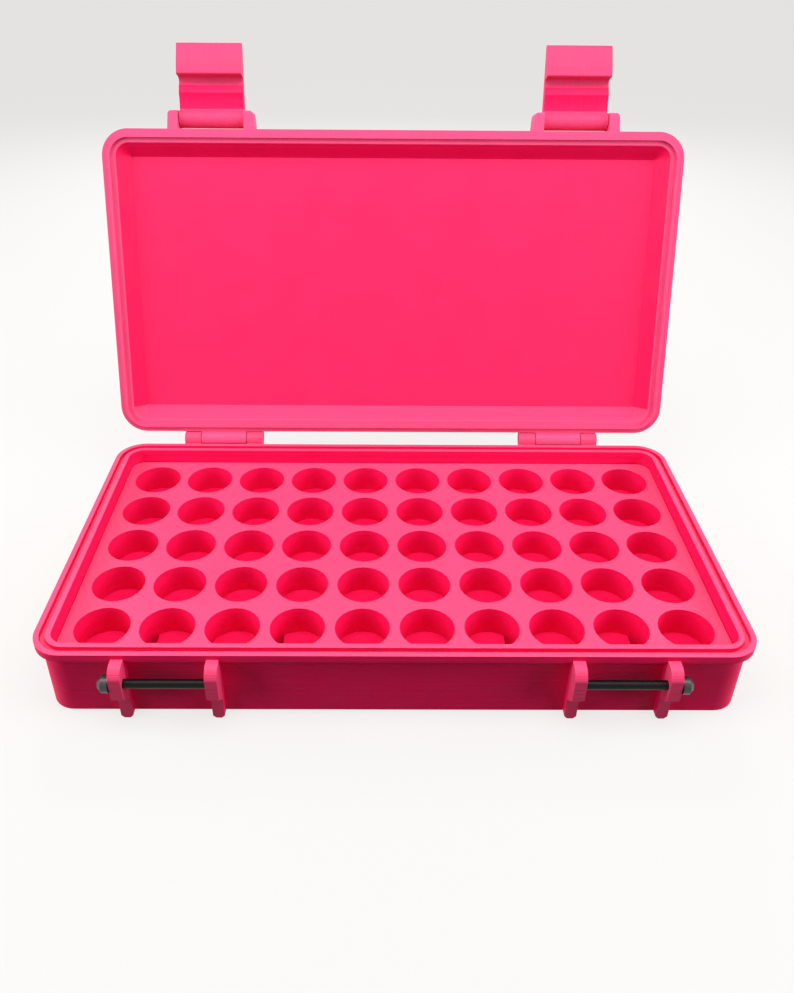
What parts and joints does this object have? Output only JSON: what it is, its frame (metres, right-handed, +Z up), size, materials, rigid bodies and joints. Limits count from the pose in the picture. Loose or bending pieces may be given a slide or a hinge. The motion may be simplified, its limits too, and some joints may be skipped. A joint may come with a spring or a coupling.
{
  "type": "storage case",
  "caption": "Shallow storage case with a hinged lid, two finger latches that hook under cross screws, and a tray of round wells.",
  "frame": {"origin": "centre of the case's flat underside", "axes": "+X to the right seen from the latch side, +Y from the latch side to the hinges, +Z up; the lid stands open at rest"},
  "size_m": [0.2252, 0.1767, 0.1752],
  "materials": {
    "pink_plastic": "satin",
    "black_steel": "satin",
    "plain_steel": "satin"
  },
  "bodies": {
    "case": {"case_body": "pink_plastic", "well_tray": "pink_plastic", "catch_screw_left": "black_steel", "catch_screw_right": "black_steel", "hinge_pin_left": "plain_steel", "hinge_pin_right": "plain_steel"},
    "lid": {"lid": "pink_plastic", "latch_pin_left": "plain_steel", "latch_pin_right": "plain_steel"},
    "left_latch": {"latch_left": "pink_plastic"},
    "right_latch": {"latch_right": "pink_plastic"}
  },
  "joints": [
    {"name": "lid_hinge", "type": "hinge", "parent": "case", "child": "lid", "pos_m": [0, 0.06335, 0.0274], "axis": [1, 0, 0], "range_deg": [0, 105.7]},
    {"name": "left_latch_pivot", "type": "hinge", "parent": "lid", "child": "left_latch", "pos_m": [-0.0702, 0.10213, 0.14873], "axis": [1, 0, 0], "range_deg": [-130, 85]},
    {"name": "right_latch_pivot", "type": "hinge", "parent": "lid", "child": "right_latch", "pos_m": [0.0702, 0.10213, 0.14873], "axis": [1, 0, 0], "range_deg": [-130, 85]}
  ]
}
